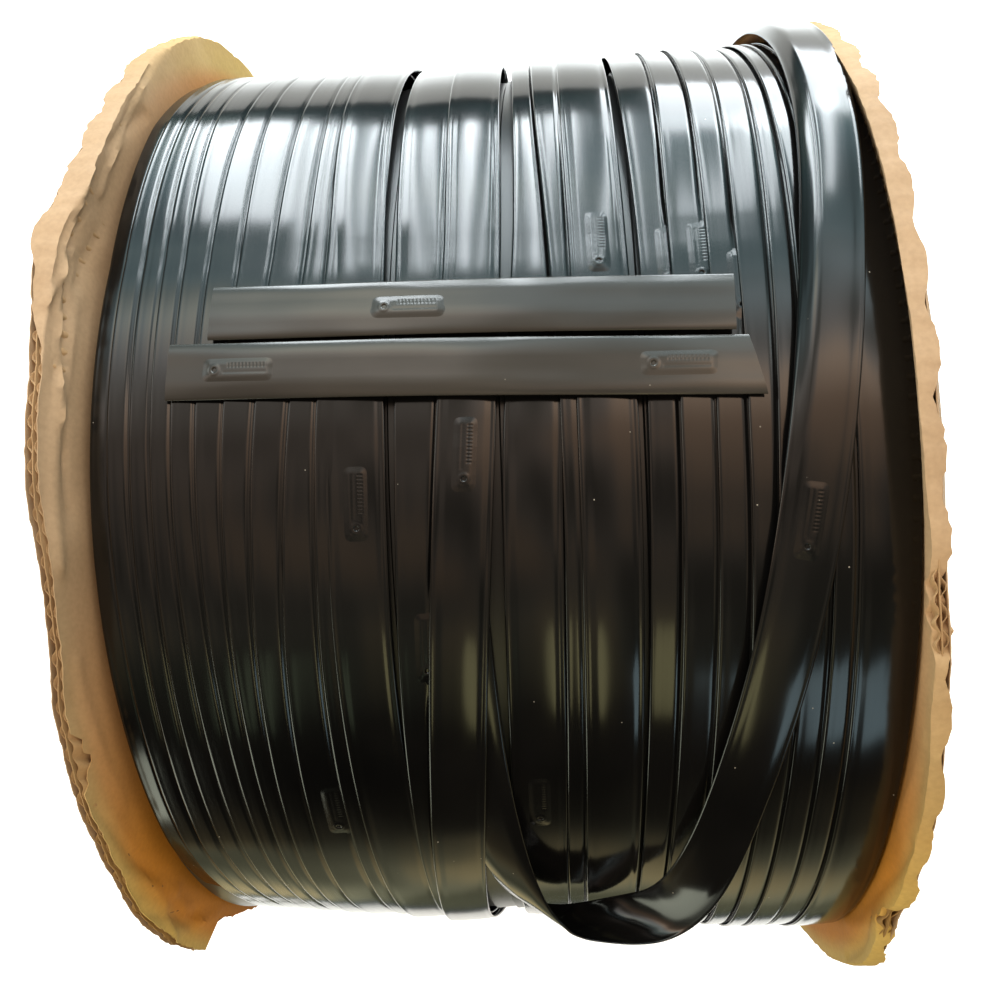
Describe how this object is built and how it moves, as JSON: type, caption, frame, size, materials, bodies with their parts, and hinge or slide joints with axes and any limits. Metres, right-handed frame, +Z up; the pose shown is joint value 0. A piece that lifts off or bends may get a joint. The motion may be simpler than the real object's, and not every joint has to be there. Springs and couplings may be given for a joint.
{
  "type": "drip tape reel",
  "caption": "Flat black drip-irrigation tape wound on a reel with corrugated board discs, its last turn loose, and two cut sample strips lying across the top.",
  "frame": {"origin": "on the floor, in the plane of the two flats pressed into the rims, under the middle of the reel's axis", "axes": "+X along the reel's axis, from the disc on the left of a viewer at the front to the one on the right; +Y to the back; +Z up"},
  "size_m": [0.3804, 0.618, 0.614],
  "materials": {
    "tube_paper": "matte, spirally wound grey-brown paper",
    "plug_plastic": "moulded, matte black",
    "kraft_liner": "plain brown kraft liner, matte, worn at the rim",
    "kraft_fluting": "waved brown paper, matte",
    "tape_film": "black polyethylene film with a soft sheen",
    "emitter_plastic": "black polyethylene moulding under the film"
  },
  "bodies": {
    "reel": {"core_tube": "tube_paper", "left_hub_plug": "plug_plastic", "right_hub_plug": "plug_plastic", "left_inner_liner": "kraft_liner", "left_fine_fluting": "kraft_fluting", "left_middle_liner": "kraft_fluting", "left_coarse_fluting": "kraft_fluting", "left_outer_liner": "kraft_liner", "right_inner_liner": "kraft_liner", "right_fine_fluting": "kraft_fluting", "right_middle_liner": "kraft_fluting", "right_coarse_fluting": "kraft_fluting", "right_outer_liner": "kraft_liner", "wound_tape_pack": "tape_film", "outer_tape_turns": "tape_film", "turn_emitters": "emitter_plastic", "loose_tape_wrap": "tape_film", "loose_wrap_emitter": "emitter_plastic"},
    "upper_strip": {"upper_sample_strip": "tape_film", "upper_strip_emitter": "emitter_plastic"},
    "lower_strip": {"lower_sample_strip": "tape_film", "lower_strip_emitters": "emitter_plastic"}
  },
  "joints": [
    {"name": "upper_strip_lift", "type": "slide", "parent": "reel", "child": "upper_strip", "axis": [0, 0, 1], "range_m": [0, 0.15]},
    {"name": "lower_strip_lift", "type": "slide", "parent": "reel", "child": "lower_strip", "axis": [0, 0, 1], "range_m": [0, 0.15]}
  ]
}
